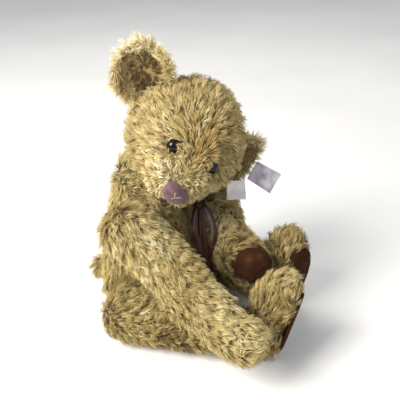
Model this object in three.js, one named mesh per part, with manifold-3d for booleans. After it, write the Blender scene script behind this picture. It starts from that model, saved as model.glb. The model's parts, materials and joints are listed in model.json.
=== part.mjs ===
// A jointed plush teddy bear, sitting, in millimetres: +Z up, chest towards -Y, +X to the bear's left,
// origin in the middle of its flat seat. The head, arms and legs are stuffed shells, each turning on a
// plastic doll joint: a stud disc inside the limb, whose shaft runs through both cloths to a washer and
// a lock ring inside the torso.
import * as THREE from "three";
import { mergeVertices } from "three/addons/utils/BufferGeometryUtils.js";
import Module from "manifold-3d";

const wasm = await Module();
wasm.setup();

// Cloth and clearances
const PLUSH = 6; // backing cloth with its pile
const CLOTH = 2; // plush pressed flat at a joint
const SUEDE = 2.5; // paw pads and soles
const GAP = 0.3; // between neighbouring pieces
const LOOSE = 2; // between cloth and stuffing

// Doll joints
const DISC_R = { neck: 19, shoulder: 15, hip: 18 };
const DISC_T = 3;
const FLAT = 23; // how far the pressed-flat cloth reaches past the disc
const SHAFT_R = 4;
const SHAFT_L = 21; // from the stud disc's inner face
const WASHER_T = 2.5;
const LOCK_R = 9;
const LOCK_T = 3;
const ROUND = 16; // sides of the round hardware

// Where the limbs join the torso: centre of each face, in the torso's frame
const NECK = { at: [0, -15, 153], lean: 34, tilt: 8, turn: 64.5 };
const SHOULDER = { at: [46, -14, 121], cant: 6, swing: { right: 57, left: 67 } };
const HIP = { at: [51, -6, 34], cant: 0, swing: { right: 88, left: 88 } };

// Head
const SKULL = { wide: 60, deep: 57, high: 61, up: 55, crown: 0.12 }; // half sizes, its centre's height over
// the neck, and how much narrower the crown is
const MUZZLE = { out: 26, spread: 0.48, drop: 0.33 }; // past the skull; half angle and dip, in radians
const EAR = { r: 33, thick: 8.5, cup: 18, back: 6 };
const EAR_POSE = {
  right: { side: 67, up: 30, splay: 62, turn: 20 },
  left: { side: 57, up: 3, splay: 80, turn: 25 },
};
const NOSE = [3.6, 13.5, 10.5]; // half sizes: depth, width, height
const EYE = { r: 6.5, side: 0.35, up: 0.09, shank: 17, shankR: 2.2, washerR: 8 };

// Torso, from the seat up: centre y and z, half width, half depth
const TORSO = [
  [2, -12, 50, 44],
  [0, 38, 59, 52],
  [-3, 86, 55, 47],
  [-5, 120, 51, 41],
  [-6, 152, 40, 36],
  [-3, 188, 34, 34],
];

// Arm in its joint's frame, hanging straight down from the shoulder's top: y, z, half width, half depth
const ARM = [
  [0, 29, 26, 28],
  [0, 0, 27, 29],
  [2, -48, 26, 27],
  [2, -96, 25, 26],
  [-5, -134, 24, 25],
  [-9, -160, 20, 21],
];
const ARM_OUT = 20; // shoulder end's middle, out from the joint's face
const PAW_AT = 134; // paw's middle, along the arm from the joint
const ARM_LEAN = { right: 15, left: -38 }; // how far the soft arms bend outwards, in degrees
const PAW_PAD = { along: 23, across: 16, turn: { right: 0, left: 30 } }; // turn: from inwards to forwards

// Leg in its joint's frame, hanging straight down: y, z, half width, half depth
const LEG = [
  [0, 26, 25, 27],
  [0, 0, 27, 29],
  [2, -55, 25, 26],
  [2, -105, 22, 24],
  [2, -145, 21, 23],
];
const LEG_OUT = 18;
const FOOT = { z: -135, toe: 66, heel: 19, wide: 28, deep: 26 };
// How far the soft leg's bend carries the foot outwards, the toes forward of square to the leg, and inwards
const FOOT_POSE = {
  right: { sideways: -12, pitch: 15, turn: 0 },
  left: { sideways: -36, pitch: 8, turn: 28 },
};
const SOLE = { back: 20, along: 33, across: 22 };

const TAIL = { at: [0, 48, 42], r: 16, long: 19 };
const RIBBON = {
  wide: 12,
  thick: 1.4,
  ring: { r: 42, down: -4.6, back: 3.5 },
  bunch: 4.2,
  knot: { at: [6, -51, 121], size: [7, 7, 7] },
  loop: [[5, -55, 119], [-7, -63, 102], [-16, -68, 80], [-17, -64, 72], [-15, -60, 84], [2, -53, 117]],
  tails: [
    [[5, -55, 118], [-5, -62, 95], [-15, -67, 60], [-16, -68, 36]],
    [[3, -55, 120], [-8, -60, 100], [-17, -62, 78], [-21, -60, 58]],
  ],
};
const LABELS = {
  large_label: {
    at: [81, 0, 58],
    along: [0.94, -0.33, 0.11],
    across: [0.29, 0.3, 0.91],
    long: 23,
    wide: 22,
  },
  small_label: {
    at: [70, -5, 39],
    along: [0.46, -0.52, -0.72],
    across: [0.82, -0.07, 0.57],
    long: 16,
    wide: 20,
  },
};
const LABEL_THICK = 0.8;

const degrees = THREE.MathUtils.degToRad;

// ---------- shapes ----------

// Moves every vertex of a unit sphere to place(polar, azimuth), with the polar angle from +Z.
function mapSphere(sides, rings, place) {
  const geometry = new THREE.SphereGeometry(1, sides, rings);
  geometry.rotateX(Math.PI / 2);
  const at = geometry.getAttribute("position");
  for (let i = 0; i < at.count; i++) {
    const polar = Math.acos(THREE.MathUtils.clamp(at.getZ(i), -1, 1));
    const p = place(polar, Math.atan2(at.getY(i), at.getX(i)));
    at.setXYZ(i, p.x, p.y, p.z);
  }
  return geometry;
}

// Sides and rings of a shape: the outer surface is finer than the hidden one that inset makes.
const detail = (inset, outer, hidden) => (inset > 0 ? hidden : outer);

// A stuffed tube: the sphere's poles go to the ends of a curve through the stations, which are
// [x, y, z, half width, half depth]. inset shrinks it all round.
function tube(stations, inset, sides, rings) {
  const spine = new THREE.CatmullRomCurve3(stations.map((s) => new THREE.Vector3(s[0], s[1], s[2])));
  const size = (column, u) => {
    const x = u * (stations.length - 1);
    const i = Math.min(Math.floor(x), stations.length - 2);
    const blend = THREE.MathUtils.smoothstep(x, i, i + 1);
    return THREE.MathUtils.lerp(stations[i][column], stations[i + 1][column], blend);
  };
  const length = spine.getLength();
  const lateral = new THREE.Vector3(1, 0, 0);
  return mapSphere(sides, rings, (polar, azimuth) => {
    const u = (1 - Math.cos(polar)) / 2;
    const along = spine.getPoint(u);
    const forward = spine.getTangent(u);
    const side = lateral.clone().addScaledVector(forward, -lateral.dot(forward)).normalize();
    const across = new THREE.Vector3().crossVectors(side, forward);
    const endRoom = Math.min(u, 1 - u) * length; // distance to the nearer end
    const cap = Math.max(size(3, u), size(4, u)) * 0.9;
    const round = endRoom < cap ? Math.sqrt(1 - (1 - endRoom / cap) ** 2) : 1;
    const shrink = 1 - inset / Math.min(size(3, u), size(4, u));
    return along
      .addScaledVector(side, Math.cos(azimuth) * (size(3, u) - inset) * round)
      .addScaledVector(across, Math.sin(azimuth) * (size(4, u) - inset) * round)
      .addScaledVector(forward, u < 0.5 ? inset * (1 - round) * shrink : -inset * (1 - round) * shrink);
  });
}

// The head's skin in direction (x, y, z) from the skull's centre: an ellipsoid with a muzzle towards -Y.
const muzzleAxis = new THREE.Vector3(0, -Math.cos(MUZZLE.drop), -Math.sin(MUZZLE.drop));
function headRadius(direction) {
  const { x, y, z } = direction;
  const wide = SKULL.wide * (1 - SKULL.crown * Math.max(0, z) ** 2);
  const skull = 1 / Math.hypot(x / wide, y / SKULL.deep, z / SKULL.high);
  const off = muzzleAxis.angleTo(direction) / MUZZLE.spread;
  return skull + MUZZLE.out / (1 + off ** 4);
}
const headPoint = (direction, inset) => {
  const p = direction.clone().normalize();
  return p.multiplyScalar(headRadius(p) - inset).add(new THREE.Vector3(0, 0, SKULL.up));
};
const sphereDirection = (polar, azimuth) =>
  new THREE.Vector3(
    Math.sin(polar) * Math.cos(azimuth),
    Math.sin(polar) * Math.sin(azimuth),
    Math.cos(polar),
  );

// A flat strip of cloth along a curve, its width along side.
function strip(curve, wide, thick, side, pieces) {
  const geometry = new THREE.BoxGeometry(wide, thick, 1, 1, 1, pieces);
  const at = geometry.getAttribute("position");
  for (let i = 0; i < at.count; i++) {
    const u = at.getZ(i) + 0.5;
    const forward = curve.getTangentAt(u);
    const across = side.clone().addScaledVector(forward, -side.dot(forward)).normalize();
    const out = new THREE.Vector3().crossVectors(forward, across);
    const p = curve.getPointAt(u).addScaledVector(across, at.getX(i)).addScaledVector(out, at.getY(i));
    at.setXYZ(i, p.x, p.y, p.z);
  }
  return geometry;
}

// ---------- solids ----------

function solid(geometry, matrix = new THREE.Matrix4()) {
  const bare = geometry.clone().applyMatrix4(matrix);
  bare.deleteAttribute("normal");
  bare.deleteAttribute("uv");
  const merged = mergeVertices(bare, 1e-3);
  const made = new wasm.Manifold(
    new wasm.Mesh({
      numProp: 3,
      vertProperties: new Float32Array(merged.attributes.position.array),
      triVerts: new Uint32Array(merged.index.array),
    }),
  );
  if (made.volume() < 0) throw new Error("a shape is inside out");
  return made;
}

function geometryOf(made) {
  const mesh = made.getMesh();
  return new THREE.BufferGeometry()
    .setAttribute("position", new THREE.BufferAttribute(new Float32Array(mesh.vertProperties), 3))
    .setIndex(new THREE.BufferAttribute(new Uint32Array(mesh.triVerts), 1));
}

// The other hand's piece: Y changes sign and the faces turn round.
function mirrored(geometry) {
  const flipped = geometry.clone().scale(1, -1, 1);
  flipped.index.array.reverse();
  return flipped;
}

// A cylinder along +X from x0 to x1, in the frame of matrix.
function rod(radius, x0, x1, matrix = new THREE.Matrix4(), sides = ROUND) {
  const geometry = new THREE.CylinderGeometry(radius, radius, x1 - x0, sides);
  geometry.rotateZ(Math.PI / 2).translate((x0 + x1) / 2, 0, 0);
  return solid(geometry, matrix);
}

// The frame at a point with +X along look.
function facing(at, look) {
  const turned = new THREE.Quaternion().setFromUnitVectors(new THREE.Vector3(1, 0, 0), look);
  return new THREE.Matrix4().makeRotationFromQuaternion(turned).setPosition(at);
}

// Everything on the +X side of x, in the frame of matrix.
function beyond(x, matrix = new THREE.Matrix4()) {
  const big = 400;
  return solid(new THREE.BoxGeometry(big, big, big).translate(x + big / 2, 0, 0), matrix);
}

// ---------- materials ----------

const material = (color, roughness, metalness = 0) =>
  new THREE.MeshStandardMaterial({ color, roughness, metalness });
const plush = material(0xc4a467, 0.95);
const stuffing = material(0xf1eee6, 1);
const suede = material(0x4a2a1d, 0.9);
const noseCloth = material(0x8a6670, 0.8);
const satin = material(0x571f24, 0.4);
const plastic = material(0xe6e4dc, 0.5);
const glassBlack = material(0x0b0908, 0.08);
const labelCloth = material(0xc9c4cc, 0.8);
const thread = material(0x3a2420, 0.7);

const bear = new THREE.Group();
function add(parent, name, made, look) {
  const mesh = new THREE.Mesh(made.isBufferGeometry ? made : geometryOf(made), look);
  mesh.name = name;
  parent.add(mesh);
  return mesh;
}

// ---------- joint frames: +X out along the joint's axis, +Z as near up as that allows ----------

function frameAt(at, outward, up) {
  const x = outward.clone().normalize();
  const z = up.clone().addScaledVector(x, -up.dot(x)).normalize();
  const y = new THREE.Vector3().crossVectors(z, x);
  const group = new THREE.Group();
  group.position.set(...at);
  group.quaternion.setFromRotationMatrix(new THREE.Matrix4().makeBasis(x, y, z));
  group.updateMatrix();
  return group;
}
const limbFrame = ({ at, cant }, side) => {
  const outward = new THREE.Vector3(side * Math.cos(degrees(cant)), 0, Math.sin(degrees(cant)));
  return frameAt([at[0] * side, at[1], at[2]], outward, new THREE.Vector3(0, 0, 1));
};
const neckAxis = new THREE.Vector3(
  Math.sin(degrees(NECK.tilt)),
  -Math.sin(degrees(NECK.lean)),
  Math.cos(degrees(NECK.lean)),
);
const joints = {
  neck: frameAt(NECK.at, neckAxis, new THREE.Vector3(0, 1, 0)), // +Z at the bear's back, +Y to its left
  right_shoulder: limbFrame(SHOULDER, -1),
  left_shoulder: limbFrame(SHOULDER, 1),
  right_hip: limbFrame(HIP, -1),
  left_hip: limbFrame(HIP, 1),
};

for (const [name, frame] of Object.entries(joints)) frame.disc = DISC_R[name.split("_").pop()];
const limbJoints = Object.values(joints).filter((frame) => frame !== joints.neck);

// What stays in the torso: the washer on the shaft.
const washer = (radius) =>
  rod(radius, -CLOTH - 2 * GAP - WASHER_T, -CLOTH - 2 * GAP).subtract(rod(SHAFT_R + GAP, -40, 0));
// The room that a joint takes behind the torso's cloth.
const jointRoom = ({ disc, matrix }) =>
  rod(disc + GAP, -CLOTH - 3 * GAP - WASHER_T, -CLOTH, matrix).add(
    rod(LOCK_R + 1, -SHAFT_L - GAP, -CLOTH, matrix),
  );

// What turns with the limb: the stud disc with its shaft, and the lock ring on the shaft's end.
function addStud(parent, name, radius) {
  const disc = CLOTH + 2 * GAP;
  const stud = rod(radius, disc, disc + DISC_T).add(rod(SHAFT_R, disc - SHAFT_L, disc + 1));
  add(parent, `${name}_joint_stud`, stud, plastic);
  const back = -CLOTH - 3 * GAP - WASHER_T;
  const ring = rod(LOCK_R, back - LOCK_T, back).subtract(rod(SHAFT_R + GAP, -40, 0));
  add(parent, `${name}_lock_ring`, ring, plastic);
}

// A limb's skin, pressed flat where it meets the torso, and its stuffing, both with room for the stud disc.
function shellAndFill(whole, radius) {
  const press = (depth) => rod(radius + FLAT + depth, depth - 60, depth);
  const disc = rod(radius + GAP, GAP + CLOTH, CLOTH + DISC_T + 3 * GAP);
  const skin = whole(0)
    .subtract(press(GAP))
    .subtract(whole(PLUSH).subtract(press(GAP + CLOTH)))
    .subtract(rod(SHAFT_R + 2 * GAP, -5, CLOTH + 5))
    .subtract(disc);
  const fill = whole(PLUSH + LOOSE)
    .subtract(press(2 * GAP + CLOTH))
    .subtract(disc);
  return { skin, fill };
}

// ---------- torso ----------

// The torso without its flats, shrunk all round by inset.
function torsoShape(inset) {
  const stations = TORSO.map(([y, z, wide, deep]) => [0, y, z, wide, deep]);
  return solid(tube(stations, inset, ...detail(inset, [20, 12], [14, 8])));
}

function buildTorso() {
  const floor = (z) => solid(new THREE.BoxGeometry(400, 400, 400).translate(0, 0, z + 200));
  const whole = (inset, pressed) => {
    let made = torsoShape(inset).intersect(floor(pressed)).subtract(beyond(-pressed, joints.neck.matrix));
    for (const frame of limbJoints) {
      made = made.subtract(rod(frame.disc + FLAT + pressed, -pressed, 60, frame.matrix));
    }
    return made;
  };
  let skin = whole(0, 0).subtract(whole(PLUSH, CLOTH));
  let fill = whole(PLUSH + LOOSE, CLOTH + GAP);
  for (const frame of Object.values(joints)) {
    const room = jointRoom(frame);
    skin = skin.subtract(room).subtract(rod(SHAFT_R + 2 * GAP, -CLOTH - 5, 5, frame.matrix));
    fill = fill.subtract(room);
  }
  add(bear, "torso_skin", skin, plush);
  add(bear, "torso_stuffing", fill, stuffing);
  for (const [name, frame] of Object.entries(joints)) {
    bear.add(frame);
    add(frame, `${name}_washer`, washer(frame.disc), plastic);
  }
  const tail = solid(
    mapSphere(14, 9, (polar, azimuth) =>
      sphereDirection(polar, azimuth)
        .multiply(new THREE.Vector3(TAIL.r, TAIL.long, TAIL.r))
        .add(new THREE.Vector3(...TAIL.at)),
    ),
  );
  add(bear, "tail", tail.subtract(torsoShape(-GAP)), plush);
}

// ---------- arms and legs ----------

// Limbs are drawn for the left, where -Y is forward; the right joints' Y axes point the other way.
const handed = (made, side) => (side > 0 ? geometryOf(made) : mirrored(geometryOf(made)));

function buildArm(sideName, side) {
  const swing = new THREE.Group();
  joints[`${sideName}_shoulder`].add(swing);
  swing.rotation.x = side * degrees(-SHOULDER.swing[sideName]);
  const lean = degrees(ARM_LEAN[sideName]);
  const bend = (z) => {
    const bent = THREE.MathUtils.smoothstep(-z, 15, 110);
    return { x: ARM_OUT - z * Math.sin(lean) * bent, z: z * (1 - (1 - Math.cos(lean)) * bent) };
  };
  const stations = ARM.map(([y, z, wide, deep]) => [bend(z).x, y, bend(z).z, wide, deep]);
  const whole = (inset) => solid(tube(stations, inset, ...detail(inset, [14, 11], [12, 11])));
  const { skin, fill } = shellAndFill(whole, DISC_R.shoulder);
  // The pad lies on the paw's inner side, facing the body.
  const paw = bend(-PAW_AT);
  const padFrame = new THREE.Matrix4()
    .makeRotationY(lean)
    .multiply(new THREE.Matrix4().makeRotationZ(degrees(PAW_PAD.turn[sideName])))
    .setPosition(paw.x, -6, paw.z);
  const patch = (grow) => {
    const size = new THREE.Vector3(1, PAW_PAD.across + grow, PAW_PAD.along + grow);
    return rod(1, -40, 0, padFrame.clone().scale(size), 20);
  };
  const pad = whole(PLUSH - SUEDE).subtract(whole(PLUSH)).intersect(patch(0));
  add(swing, `${sideName}_arm_skin`, handed(skin.subtract(patch(GAP)), side), plush);
  add(swing, `${sideName}_arm_stuffing`, handed(fill, side), stuffing);
  add(swing, `${sideName}_paw_pad`, handed(pad, side), suede);
  addStud(swing, `${sideName}_arm`, DISC_R.shoulder);
}

function buildLeg(sideName, side) {
  const swing = new THREE.Group();
  joints[`${sideName}_hip`].add(swing);
  swing.rotation.x = side * degrees(-HIP.swing[sideName]);
  // The foot's frame: Z along the sole towards the toes, X out of the sole.
  const pose = FOOT_POSE[sideName];
  const bent = (z) => LEG_OUT + pose.sideways * Math.max(0, z / FOOT.z) ** 1.5;
  const shorter = Math.cos(Math.asin(pose.sideways / FOOT.z));
  const stations = LEG.map(([y, z, wide, deep]) => [bent(z), y, z * shorter, wide, deep]);
  const footFrame = new THREE.Matrix4()
    .makeRotationY(degrees(pose.turn))
    .multiply(new THREE.Matrix4().makeRotationX(degrees(pose.pitch)))
    .setPosition(bent(FOOT.z), 0, FOOT.z * shorter);
  const footMiddle = new THREE.Vector3(0, -(FOOT.toe - FOOT.heel) / 2, 0);
  const footLong = (FOOT.toe + FOOT.heel) / 2 + 8;
  const foot = (inset) =>
    solid(
      mapSphere(...detail(inset, [14, 10], [10, 7]), (polar, azimuth) =>
        sphereDirection(polar, azimuth)
          .multiply(new THREE.Vector3(FOOT.wide, footLong, FOOT.deep).subScalar(inset))
          .add(footMiddle),
      ),
      footFrame,
    );
  const cut = (inset) =>
    solid(new THREE.BoxGeometry(300, 300, 100).translate(0, 0, -50 - SOLE.back + inset), footFrame);
  const whole = (inset) =>
    solid(tube(stations, inset, ...detail(inset, [14, 9], [10, 7])))
      .add(foot(inset))
      .subtract(cut(inset > 0 ? SUEDE + inset - PLUSH : 0));
  const { skin, fill } = shellAndFill(whole, DISC_R.hip);
  const patchFrame = footFrame
    .clone()
    .multiply(new THREE.Matrix4().makeRotationY(Math.PI / 2).setPosition(0, footMiddle.y, -SOLE.back));
  const patch = (x0, x1, grow) => {
    const size = new THREE.Vector3(1, SOLE.along + grow, SOLE.across + grow);
    return rod(1, x0, x1, patchFrame.clone().scale(size), 24);
  };
  add(swing, `${sideName}_leg_skin`, handed(skin.subtract(patch(-12, 12, GAP)), side), plush);
  add(swing, `${sideName}_leg_stuffing`, handed(fill, side), stuffing);
  add(swing, `${sideName}_sole_pad`, handed(patch(-SUEDE + GAP, 0, 0), side), suede);
  addStud(swing, `${sideName}_leg`, DISC_R.hip);
}

// ---------- head ----------

function buildHead() {
  const head = new THREE.Group();
  joints.neck.add(head);
  head.rotation.x = degrees(-NECK.turn);
  // Inside face, Z is up the neck's axis, -Y is the way the face looks and +X is the bear's left.
  const face = new THREE.Group();
  face.quaternion.setFromRotationMatrix(
    new THREE.Matrix4().set(0, 0, 1, 0, 1, 0, 0, 0, 0, 1, 0, 0, 0, 0, 0, 1),
  );
  head.add(face);
  const whole = (inset, sides = 24, rings = 17) =>
    solid(mapSphere(sides, rings, (polar, azimuth) => headPoint(sphereDirection(polar, azimuth), inset)));
  const above = (z) => solid(new THREE.BoxGeometry(400, 400, 400).translate(0, 0, z + 200));
  const upright = new THREE.Matrix4().makeRotationY(-Math.PI / 2); // +X to +Z
  const disc = rod(DISC_R.neck + GAP, GAP + CLOTH, CLOTH + DISC_T + 3 * GAP, upright);
  let skin = whole(0)
    .intersect(above(GAP))
    .subtract(whole(PLUSH, 14, 9).intersect(above(GAP + CLOTH)))
    .subtract(rod(SHAFT_R + 2 * GAP, -5, CLOTH + 5, upright))
    .subtract(disc);
  let fill = whole(PLUSH + LOOSE, 14, 9)
    .intersect(above(2 * GAP + CLOTH))
    .subtract(disc);

  // Safety eyes: a dome in the pile, with a shank through the cloth into a washer behind it.
  for (const [sideName, side] of [["right", -1], ["left", 1]]) {
    const look = new THREE.Vector3(side * Math.sin(EYE.side), -Math.cos(EYE.side), Math.sin(EYE.up));
    look.normalize();
    const frame = facing(headPoint(look, PLUSH - 1), look);
    const shank = (grow, x0, x1) => rod(EYE.shankR + grow, x0, x1, frame, 10);
    const behind = (grow, x1) => rod(EYE.washerR + grow, -PLUSH - 3 - grow, x1, frame, 14);
    const dome = (grow) => solid(new THREE.SphereGeometry(EYE.r + grow, 12, 8).scale(0.8, 1, 1), frame);
    const eye = dome(0)
      .intersect(beyond(-1, frame))
      .add(shank(0, -EYE.shank, 0));
    const ring = behind(0, -PLUSH - 1).subtract(shank(GAP, -40, 40));
    add(face, `${sideName}_eye`, eye, glassBlack);
    add(face, `${sideName}_eye_washer`, ring, plastic);
    skin = skin
      .subtract(dome(GAP))
      .subtract(shank(GAP, -20, 2))
      .subtract(behind(GAP, -PLUSH - 1 + GAP));
    fill = fill
      .subtract(dome(GAP))
      .subtract(behind(GAP, 0))
      .subtract(shank(GAP, -EYE.shank - GAP, 0));
  }

  // Nose pad at the muzzle's tip.
  const noseLook = new THREE.Vector3(0, -1, -Math.tan(MUZZLE.drop)).normalize();
  const noseFrame = facing(headPoint(noseLook, 2), noseLook);
  const nose = (grow) => {
    const size = NOSE.map((half) => half + grow);
    return solid(new THREE.SphereGeometry(1, 14, 7).scale(...size), noseFrame);
  };
  add(face, "nose", nose(0), noseCloth);
  skin = skin.subtract(nose(GAP));

  // Mouth: one thread down from the nose and one across, lying on the pile.
  const stitch = (points) => {
    const curve = new THREE.CatmullRomCurve3(
      points.map(([x, drop]) => headPoint(new THREE.Vector3(x, -Math.cos(drop), -Math.sin(drop)), -1)),
    );
    const round = new THREE.Shape().absarc(0, 0, 0.7, 0, 2 * Math.PI, false);
    const sweep = { steps: 6, extrudePath: curve, curveSegments: 2, bevelEnabled: false };
    return solid(new THREE.ExtrudeGeometry(round, sweep));
  };
  const mouth = stitch([[0, 0.44], [0, 0.52], [0, 0.6]]).add(
    stitch([[-0.17, 0.68], [-0.09, 0.66], [0, 0.59], [0.09, 0.66], [0.17, 0.68]]),
  );
  add(face, "mouth_stitch", mouth, thread);

  // Two blank labels sewn in under the left ear.
  const labelShape = ({ at, along, across, long, wide }, thick) => {
    const start = new THREE.Vector3(...at);
    const end = start.clone().addScaledVector(new THREE.Vector3(...along), long);
    const middle = start.clone().lerp(end, 0.5).add(new THREE.Vector3(0, 1.5, 0));
    const curve = new THREE.CatmullRomCurve3([start, middle, end]);
    return solid(strip(curve, wide, thick, new THREE.Vector3(...across), 3));
  };
  const large = LABELS.large_label;
  const slot = labelShape({ ...large, wide: large.wide + 2 * GAP }, LABEL_THICK + 2 * GAP);
  for (const [name, shape] of Object.entries(LABELS)) {
    add(face, name, labelShape(shape, LABEL_THICK), labelCloth);
  }

  // Cupped ears, sewn to the head's sides.
  const headClear = whole(-GAP);
  for (const [sideName, side] of [["right", -1], ["left", 1]]) {
    const pose = EAR_POSE[sideName];
    const earFrame = new THREE.Matrix4()
      .makeRotationZ(side * degrees(pose.turn))
      .multiply(new THREE.Matrix4().makeRotationY(side * degrees(pose.splay)))
      .setPosition(side * pose.side, EAR.back, SKULL.up + pose.up);
    const ear = solid(
      mapSphere(16, 10, (polar, azimuth) => {
        const d = sphereDirection(polar, azimuth);
        const cupped = new THREE.Vector3(d.x * EAR.r, d.y * EAR.thick, d.z * EAR.r);
        cupped.y += EAR.cup * (0.5 - (d.x ** 2 + 0.4 * d.z ** 2));
        return cupped;
      }),
      earFrame,
    );
    const cut = side > 0 ? headClear.add(slot) : headClear;
    add(face, `${sideName}_ear`, ear.subtract(cut), plush);
  }

  add(face, "head_skin", skin, plush);
  add(face, "head_stuffing", fill, stuffing);
  addStud(head, "head", DISC_R.neck);
}

// ---------- ribbon ----------

// A satin ribbon bunched round the neck, tied in front, with one loop and two tails hanging down.
function buildRibbon() {
  const { ring, bunch, knot, loop, tails } = RIBBON;
  const collar = new THREE.TorusGeometry(ring.r, bunch, 7, 22);
  collar.rotateY(Math.PI / 2).translate(ring.down, 0, ring.back);
  const hang = (points, wide) => {
    const curve = new THREE.CatmullRomCurve3(points.map((p) => new THREE.Vector3(...p)));
    return solid(strip(curve, wide, RIBBON.thick, new THREE.Vector3(1, 0, 0), 7));
  };
  let ribbon = solid(collar, joints.neck.matrix)
    .add(solid(new THREE.SphereGeometry(1, 12, 7).scale(...knot.size).translate(...knot.at)))
    .add(hang(loop, RIBBON.wide));
  for (const tail of tails) ribbon = ribbon.add(hang(tail, RIBBON.wide - 2));
  add(bear, "ribbon", ribbon.subtract(torsoShape(-GAP)), satin);
}

buildTorso();
for (const [sideName, side] of [["right", -1], ["left", 1]]) {
  buildArm(sideName, side);
  buildLeg(sideName, side);
}
buildHead();
buildRibbon();

export default bear;
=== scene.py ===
"""Looks of a jointed plush teddy bear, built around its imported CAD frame. Lengths are in metres.

Each plush part gets a puffed backing cloth in place of its plain CAD shell, and a pile of combed strands on
it. Suede pads, eyes, nose, ribbon and labels are made to the size and place of the CAD nodes they stand for.
"""

import json
import math

import bmesh
import bpy
import numpy as np
from mathutils import Matrix, Vector
from mathutils.bvhtree import BVHTree
from mathutils.kdtree import KDTree


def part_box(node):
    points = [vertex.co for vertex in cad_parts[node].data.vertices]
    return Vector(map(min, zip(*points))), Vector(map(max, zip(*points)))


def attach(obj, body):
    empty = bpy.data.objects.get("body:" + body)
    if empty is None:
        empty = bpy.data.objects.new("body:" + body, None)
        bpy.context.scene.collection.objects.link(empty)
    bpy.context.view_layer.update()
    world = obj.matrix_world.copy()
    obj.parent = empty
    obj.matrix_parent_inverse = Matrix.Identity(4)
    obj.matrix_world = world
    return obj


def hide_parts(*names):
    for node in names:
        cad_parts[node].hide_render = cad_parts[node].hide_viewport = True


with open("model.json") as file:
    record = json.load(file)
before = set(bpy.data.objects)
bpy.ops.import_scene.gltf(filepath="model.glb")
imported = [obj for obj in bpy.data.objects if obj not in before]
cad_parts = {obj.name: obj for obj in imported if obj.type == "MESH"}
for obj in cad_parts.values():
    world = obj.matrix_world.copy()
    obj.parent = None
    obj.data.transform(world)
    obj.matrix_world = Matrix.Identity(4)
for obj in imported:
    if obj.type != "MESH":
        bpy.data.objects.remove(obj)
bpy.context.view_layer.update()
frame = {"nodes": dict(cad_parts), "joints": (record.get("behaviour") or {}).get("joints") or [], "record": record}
NODES = frame["nodes"]
MM = 0.001
SIDES = ("right", "left")
SCENE = bpy.context.scene

# Camera, as the bear is seen from its right front and a little above
VIEW = {"azimuth": -72, "elevation": 25, "roll": -1.5, "distance": 0.738, "lens": 60}
TARGET = Vector((0.062, -0.040, 0.104))

# Backing cloth
VOXEL = 4 * MM
PUFF = 2.2 * MM
SEAM_WIDTH = 7 * MM
PILE_DEPTH = 5.4 * MM
FLAT_DEPTH = 1.2 * MM
FILL_OVERLAP = 3.2 * MM
CLOTH_GAP = 1.8 * MM  # least distance of the cloth from its filling
PAD_FILLING_GAP = 1.2 * MM
PAD_CLOTH_GAP = 1.1 * MM

# Face
EYE_SUNK = 2.2 * MM
MOUTH_SUNK = 4.2 * MM

# Pile
FLOOR_CLEAR = 0.4 * MM
ROOT_DEPTH = 0.4 * MM
STATIONS = np.array([0.0, 0.36, 0.7, 1.0])
GIRTH = np.array([1.0, 0.92, 0.6])
TONE_SPAN = 0.012
PIECE_STRANDS = 12000


# ---------- numbers ----------


def unit(vectors):
    """Each row at length one."""
    length = np.linalg.norm(vectors, axis=-1, keepdims=True)
    return vectors / np.maximum(length, 1e-9)


def dot(a, b):
    return (a * b).sum(-1)


def distance(points, at):
    return np.linalg.norm(points - at, axis=1)


def along_and_off(points, at, axis):
    """How far along an axis through a place each point lies, and how far off it."""
    offset = points - at
    along = offset @ axis
    return along, np.linalg.norm(offset - along[:, None] * axis, axis=1)


def step(low, high, x):
    """Smooth rise from 0 at low to 1 at high."""
    t = np.clip((x - low) / (high - low), 0, 1)
    return t * t * (3 - 2 * t)


def drift(points, scale, seed):
    """A smooth random vector at each point, which changes over about scale metres."""
    rng = np.random.default_rng(seed)
    waves = rng.normal(size=(7, 3)) / scale
    phases = rng.uniform(0, 2 * math.pi, 7)
    pushes = rng.normal(size=(7, 3))
    return np.sin(points @ waves.T + phases) @ pushes / math.sqrt(7)


# The joint that each body turns on
PIVOTS = {joint["child"]: np.array(joint["pos_m"]) for joint in frame["joints"]}
AXES = {joint["child"]: unit(np.array(joint["axis"])) for joint in frame["joints"]}


# ---------- meshes ----------


def coordinates(mesh):
    co = np.empty(len(mesh.vertices) * 3)
    mesh.vertices.foreach_get("co", co)
    return co.reshape(-1, 3)


def normals(mesh):
    out = np.empty(len(mesh.vertices) * 3)
    mesh.vertices.foreach_get("normal", out)
    return out.reshape(-1, 3)


def set_coordinates(mesh, co):
    mesh.vertices.foreach_set("co", np.asarray(co, np.float32).ravel())
    mesh.update()


def linked(name, data, material=None):
    ob = bpy.data.objects.new(name, data)
    SCENE.collection.objects.link(ob)
    if material:
        data.materials.clear()
        data.materials.append(material)
    return ob


def piece(name, mesh, material, body, slot, *stands_for):
    """A finished piece of the bear, riding on its body."""
    mesh.shade_smooth()
    ob = linked(name, mesh, material)
    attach(ob, body)
    if stands_for:
        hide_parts(*stands_for)
    return ob


def node_points(*names):
    return np.concatenate([coordinates(NODES[n].data) for n in names])


def centre(*names):
    points = node_points(*names)
    return (points.min(0) + points.max(0)) / 2


def principal(points):
    """A cloud's middle and its directions, the longest first."""
    middle = points.mean(0)
    _, _, rows = np.linalg.svd(points - middle, full_matrices=False)
    return middle, rows


def merged(meshes, face_out=False):
    """One mesh holding copies of the given ones, on request with their faces turned outwards."""
    bm = bmesh.new()
    for mesh in meshes:
        bm.from_mesh(mesh)
    if face_out:
        bmesh.ops.recalc_face_normals(bm, faces=bm.faces)
    out = bpy.data.meshes.new("merged")
    bm.to_mesh(out)
    bm.free()
    return out


def joined(*names):
    """One mesh holding copies of these CAD nodes."""
    return merged([NODES[n].data for n in names])


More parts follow.
